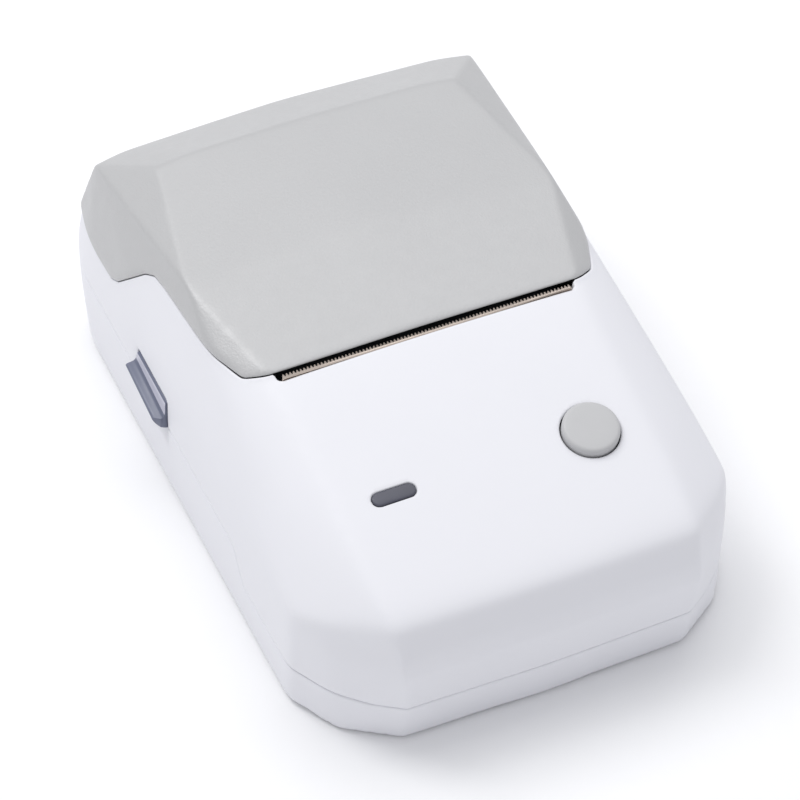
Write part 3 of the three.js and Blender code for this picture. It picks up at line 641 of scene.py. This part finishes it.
def used_only(points, triangles, locked):
    """Drops the corners that no triangle uses."""
    used, flat = np.unique(triangles, return_inverse=True)
    return points[used], flat.reshape(-1, 3), locked[used]


def shell_piece(field, rim_round=RIM_ROUND, wall=WALL):
    """The wall of one piece: the part of the skin where the field is positive, given a rounded
    rim and a thickness. Returns its outer and inner points, and its faces over both."""
    points, triangles = SKIN[0].copy(), SKIN[1]
    locked = np.zeros(len(points), bool)
    points, triangles, locked = split_along(points, triangles, locked, field, 0.0)
    value = field(points)
    value[locked] = 0
    triangles = triangles[value[triangles].max(axis=1) > 0]
    points, triangles, locked = used_only(points, triangles, locked)
    for share in (0.12, 0.4, 0.9):  # rows of corners across the rounded rim
        points, triangles, locked = split_along(points, triangles, locked, field, rim_round * share)
    points = onto_form(points, rounds=1)
    reach = np.clip(field(points), 0, rim_round)
    sink = rim_round - np.sqrt(np.maximum(rim_round ** 2 - (rim_round - reach) ** 2, 0))
    slope = form_at(points)[1]
    outward = slope / np.linalg.norm(slope, axis=1, keepdims=True)
    outer = points - outward * sink[:, None]
    inner = onto_form(points - outward * wall, -wall, rounds=2)
    edges = triangles[:, [0, 1, 1, 2, 2, 0]].reshape(-1, 2)
    count = len(points)
    codes = edges[:, 0].astype(np.int64) * count + edges[:, 1]
    back = edges[:, 1].astype(np.int64) * count + edges[:, 0]
    rim = edges[~np.isin(codes, back)]
    faces = [triangles, triangles[:, ::-1] + count]
    walls = np.stack([rim[:, 1], rim[:, 0], rim[:, 0] + count, rim[:, 1] + count], 1)
    return outer, inner, [*np.vstack(faces).tolist(), *walls.tolist()]


def clear_of_hinge(inner):
    """Hollows the inside of the wall where the hinge barrel turns, by pushing its points out to
    the seat's radius."""
    y, z = inner[:, 1] - HINGE_Y, inner[:, 2] - HINGE_Z
    r = np.hypot(y, z)
    near = (r < HINGE_SEAT_R) & (r > 0.1) & (np.abs(inner[:, 0]) < BARREL_END - 0.5)
    grow = np.where(near, HINGE_SEAT_R / np.maximum(r, 0.1), 1.0)
    inner[:, 1] = HINGE_Y + y * grow
    inner[:, 2] = HINGE_Z + z * grow
    return inner


SKIN = form_skin()


def make_casing():
    """The upper casing, hollowed for the hinge barrel."""
    outer, inner, faces = shell_piece(upper_piece)
    inner = clear_of_hinge(inner)
    piece = from_points("casing", np.vstack([outer, inner]), faces, CASING)
    place(piece, "body", "casing_white", "upper_casing")


def make_base():
    """The lower casing."""
    outer, inner, faces = shell_piece(base_piece)
    piece = from_points("casing_base", np.vstack([outer, inner]), faces, CASING)
    place(piece, "body", "casing_white", "lower_casing")


def make_lid():
    """The lid, with its front edge undercut, so that the slot stays dark."""
    outer, inner, faces = shell_piece(lid_piece, LID_RIM_ROUND, LID_WALL)
    inner[:, 1] += LID_WALL * np.clip(1 - (inner[:, 1] - LID_FRONT_Y) / 4, 0, 1)
    piece = from_points("lid", np.vstack([outer, inner]), faces, LID)
    place(piece, "lid", "lid_grey", "lid_shell")


make_casing()
make_base()
make_lid()


def make_hinge():
    """The lid's barrel, in three lengths between the ears, and the casing's two ears."""
    rounding = 0.25
    inner_side, outer_side = EAR_X - EAR_SLOT_HALF, EAR_X + EAR_SLOT_HALF
    lengths = ((-BARREL_END, -outer_side), (-inner_side, inner_side), (outer_side, BARREL_END))
    bm = bmesh.new()
    for low, high in lengths:
        add_prism(bm, arc(HINGE_Y, HINGE_Z, BARREL_R), low, high, 0)
    bevel_edges(bm, rounding)
    place(from_bmesh("lid_barrel", bm, LID), "lid", "lid_grey")
    foot_z = 20
    ear = arc(HINGE_Y, HINGE_Z, EAR_R, 0, 180, 25)
    ear += [(HINGE_Y - EAR_R, foot_z), (HINGE_Y + EAR_R, foot_z)]
    bm = bmesh.new()
    for middle in (-EAR_X, EAR_X):
        add_prism(bm, ear, middle - EAR_HALF, middle + EAR_HALF, 0)
    bevel_edges(bm, rounding)
    place(from_bmesh("casing_ears", bm, CASING), "body", "casing_white")


make_hinge()


# ---- Controls ------------------------------------------------------------------------------

def make_button():
    """A round key with a soft rim and a very slightly domed top."""
    rim = 0.75
    height = 1.15
    dome = 0.12
    profile = [(0, -2.4), (BUTTON_R - 0.1, -2.4), (BUTTON_R, -2.2), (BUTTON_R, height - rim)]
    profile += arc(BUTTON_R - rim, height - rim, rim, 15, 90, 6)
    profile += [(BUTTON_R * s, height + dome * (1 - s * s)) for s in (0.7, 0.5, 0.3, 0.15)]
    profile.append((0, height + dome))
    bm = turned(profile)
    on_panel(bm, CONTROL_X)
    place(from_bmesh("button", bm, BUTTON, 60), "button", "button_grey", "power_button")


def make_lens():
    """The indicator's smoked lens, just below the panel, with a soft rim."""
    bm = bmesh.new()
    add_prism(bm, stadium(LENS_LENGTH, LENS_WIDTH), -2.6, -0.12, 2)
    bevel_edges(bm, 0.22)
    on_panel(bm, -CONTROL_X)
    place(from_bmesh("lens", bm, LENS), "body", "lens_dark", "indicator_lens")


make_button()
make_lens()


# ---- Release levers ------------------------------------------------------------------------

# The tab, seen from the front as x and z, and the hook, seen from the side as y and z.
LEVER_TAB = [
    (38.2, 15.2), (40.6, 15.3), (42.3, 16.3), (43.0, 17.3), (42.9, 17.9), (41.7, 18.0),
    (41.1, 18.3), (40.8, 19.2), (40.75, 21.9), (38.2, 21.9),
]
LEVER_HOOK = [
    (12, 17), (12, 19.5), (3.2, 27), (1.4, 31), (1.4, 34.6), (0.8, 35.0), (-4.3, 35.0),
    (-4.3, 33.95), (-1.9, 33.95), (-1.9, 30), (0, 25), (8, 17),
]
LEVER_FRONT, LEVER_REAR = 8.65, 22.05
LEVER_SHELF_X = 31.95  # inner side of the shelf and the hook
LEDGE_RISE = 1.9  # the ledge is this much higher at its rear end
LIP_HIGHLIGHT_X = 40.5  # the lip's outward face beyond this is painted pale as a highlight
LIP_HIGHLIGHT_Z = 18.8  # and above this


def add_beveled(bm, outline, low, high, axis, width):
    """Adds a prism with rounded edges."""
    part = bmesh.new()
    add_prism(part, outline, low, high, axis)
    bmesh.ops.recalc_face_normals(part, faces=part.faces)
    bevel_edges(part, width)
    copy = bpy.data.meshes.new("part")
    part.to_mesh(copy)
    part.free()
    bm.from_mesh(copy)
    bpy.data.meshes.remove(copy)


def make_lever(side, name):
    """A release lever: the tab in its window, the shelf behind it and the hook over the shaft."""
    bm = bmesh.new()
    add_prism(bm, softened(LEVER_TAB, 0.45), LEVER_FRONT, LEVER_REAR, 1)
    bmesh.ops.recalc_face_normals(bm, faces=bm.faces)
    # The tab's front end is cut off slantwise.
    cut_point, cut_normal = Vector((41.0, 8.0, 0)), Vector((2.6, -3.0, 0)).normalized()
    everything = [*bm.verts, *bm.edges, *bm.faces]
    cut = bmesh.ops.bisect_plane(
        bm, geom=everything, plane_co=cut_point, plane_no=cut_normal, clear_outer=True)
    rim = [e for e in cut["geom_cut"] if isinstance(e, bmesh.types.BMEdge)]
    bmesh.ops.contextual_create(bm, geom=rim)
    bmesh.ops.recalc_face_normals(bm, faces=bm.faces)
    bevel_edges(bm, 0.22, 40)
    # The ledge climbs towards the rear, while the tab's lower and upper edges stay level.
    for corner in bm.verts:
        x, y, z = corner.co
        reach = min(1.0, max(0.0, (z - 15.4) / 1.8), max(0.0, (21.7 - z) / 2.6))
        corner.co.z = z + LEDGE_RISE * reach * (y - LEVER_FRONT) / (LEVER_REAR - LEVER_FRONT)
    shelf = [(LEVER_SHELF_X, 8.7), (38.5, 8.7), (38.5, 12.0), (LEVER_SHELF_X, 12.0)]
    add_beveled(bm, shelf, 17.0, 19.5, 2, 0.2)
    add_beveled(bm, LEVER_HOOK, LEVER_SHELF_X, 33.0, 0, 0.15)
    if side < 0:
        bmesh.ops.scale(bm, vec=(-1, 1, 1), verts=bm.verts)
    lever = from_bmesh(name + "_lever", bm, LEVER, 32)
    # The lip's outward faces take the paler material, a painted highlight.
    lever.data.materials.append(LEVER_LIP_PAINTED_HIGHLIGHT)
    for face in lever.data.polygons:
        beyond = abs(face.center.x) > LIP_HIGHLIGHT_X * MM and face.center.z > LIP_HIGHLIGHT_Z * MM
        if beyond and abs(face.normal.x) > 0.93:
            face.material_index = 1
    place(lever, "latch_" + name, "lever_blue", "lever_" + name)


make_lever(-1, "left")
make_lever(1, "right")


# ---- Remaining CAD nodes: their finish and their rounded edges -----------------------------

NODE_SHARP_ANGLE = 32.0


def finish_node(name, material, width):
    """Gives a CAD node a material, smooth shading and, unless the width is 0, rounded edges."""
    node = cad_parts[name]
    node.data.materials.clear()
    node.data.materials.append(material)
    weld = node.modifiers.new("weld", "WELD")
    weld.merge_threshold = 0.002 * MM
    if width:
        bevel = node.modifiers.new("rounded", "BEVEL")
        bevel.width = width * MM
        bevel.segments = 2
        bevel.limit_method = "ANGLE"
        bevel.angle_limit = math.radians(NODE_SHARP_ANGLE)
        bevel.harden_normals = True
        bevel.use_clamp_overlap = True
    node.data.shade_smooth()
    node.data.set_sharp_from_angle(angle=math.radians(NODE_SHARP_ANGLE))


# Slot and width of the rounded edges: the material, and the nodes that have them.
FINISHES = {
    # The lid's liner takes the near-black painted-shade plastic.
    ("liner_grey", 0.2): (LINER_PAINTED_SHADE, ["lid_frame"]),
    ("frame_dark", 0.15): (FRAME, ["drive_frame", "roll_tray", "guide_post"]),
    ("guide_grey", 0.15): (GUIDE, [
        "roll_guide_left", "roll_guide_right", "guide_rack_left", "guide_rack_right"]),
    ("gear_cream", 0.04): (ACETAL, ["motor_pinion", "idler_gear", "platen_gear", "guide_pinion"]),
    ("steel", 0.1): (STEEL, [
        "usb_socket", "motor", "platen_shaft", "head_leaf_spring", "lever_pin_left",
        "lever_pin_right", "hinge_pin_left", "hinge_pin_right", "case_screw_front_left",
        "case_screw_front_right", "case_screw_rear_left", "case_screw_rear_right"]),
    ("steel", 0.01): (STEEL, ["lever_spring_left", "lever_spring_right"]),
    ("steel", 0.0): (BLADE, ["tear_bar"]),
    ("aluminium", 0.15): (ALUMINIUM, ["head_heat_sink"]),
    ("ceramic", 0.08): (CERAMIC, ["print_head"]),
    ("rubber", 0.2): (RUBBER, [
        "platen_roller", "foot_front_left", "foot_front_right", "foot_rear_left",
        "foot_rear_right"]),
    ("board_green", 0.05): (BOARD, ["button_board", "main_board", "usb_board"]),
    ("battery_blue", 1.0): (BATTERY, ["battery_pack"]),
    ("black_plastic", 0.1): (BLACK, [
        "tact_switch", "driver_chip", "usb_tongue", "gap_sensor", "platen_bushing_left",
        "platen_bushing_right"]),
    ("led_white", 0.1): (LED, ["status_led"]),
}
for (slot_name, edge_width), (node_material, names) in FINISHES.items():
    for node_name in names:
        finish_node(node_name, node_material, edge_width)


# ---- Floor, light and camera ---------------------------------------------------------------

def make_floor():
    """A pale floor that reaches out of the picture. This part of the script is in metres."""
    bm = bmesh.new()
    bmesh.ops.create_grid(bm, x_segments=2, y_segments=2, size=3.0)
    mesh = bpy.data.meshes.new("floor")
    bm.to_mesh(mesh)
    bm.free()
    floor = bpy.data.objects.new("floor", mesh)
    bpy.context.scene.collection.objects.link(floor)
    material, _, shader = new_material("floor_paper")
    shader.inputs["Base Color"].default_value = (0.98, 0.98, 0.985, 1)
    shader.inputs["Roughness"].default_value = 0.9
    mesh.materials.append(material)


def area_light(name, position, size, power):
    """A rectangular white light that points at the middle of the printer."""
    middle = Vector((0, 0, 0.02))
    light = bpy.data.lights.new(name, "AREA")
    light.shape = "RECTANGLE"
    light.size, light.size_y = size
    light.energy = power
    lamp = bpy.data.objects.new(name, light)
    bpy.context.scene.collection.objects.link(lamp)
    lamp.location = position
    lamp.rotation_euler = (middle - Vector(position)).to_track_quat("-Z", "Y").to_euler()


def make_light():
    """A bright, even surrounding, with a broad light above the rear and one that catches the
    lid's creases."""
    world = bpy.data.worlds.new("studio")
    bpy.context.scene.world = world
    world.use_nodes = True
    sky = world.node_tree.nodes["Background"]
    sky.inputs["Color"].default_value = (0.95, 0.96, 1.0, 1)
    sky.inputs["Strength"].default_value = 0.595
    area_light("key", (0.03, 0.29, 0.87), (1.1, 0.7), 3.8)
    area_light("edge_gleam", (-0.32, 0.37, 0.88), (0.28, 0.5), 2.1)


def make_camera():
    """Looks down on the front left corner through a long lens."""
    azimuth, elevation = math.radians(-23.87), math.radians(46.29)
    distance = 0.70523
    target = Vector((0, 0, 0.01345))
    back = Vector((
        math.sin(azimuth) * math.cos(elevation), -math.cos(azimuth) * math.cos(elevation),
        math.sin(elevation)))
    camera = bpy.data.objects.new("camera", bpy.data.cameras.new("camera"))
    bpy.context.scene.collection.objects.link(camera)
    camera.location = target + back * distance
    camera.rotation_euler = (-back).to_track_quat("-Z", "Y").to_euler()
    camera.data.sensor_width = 36
    camera.data.lens = 180
    camera.data.clip_start = 0.01
    bpy.context.scene.camera = camera


make_floor()
make_light()
make_camera()
bpy.context.scene.view_settings.view_transform = "Standard"
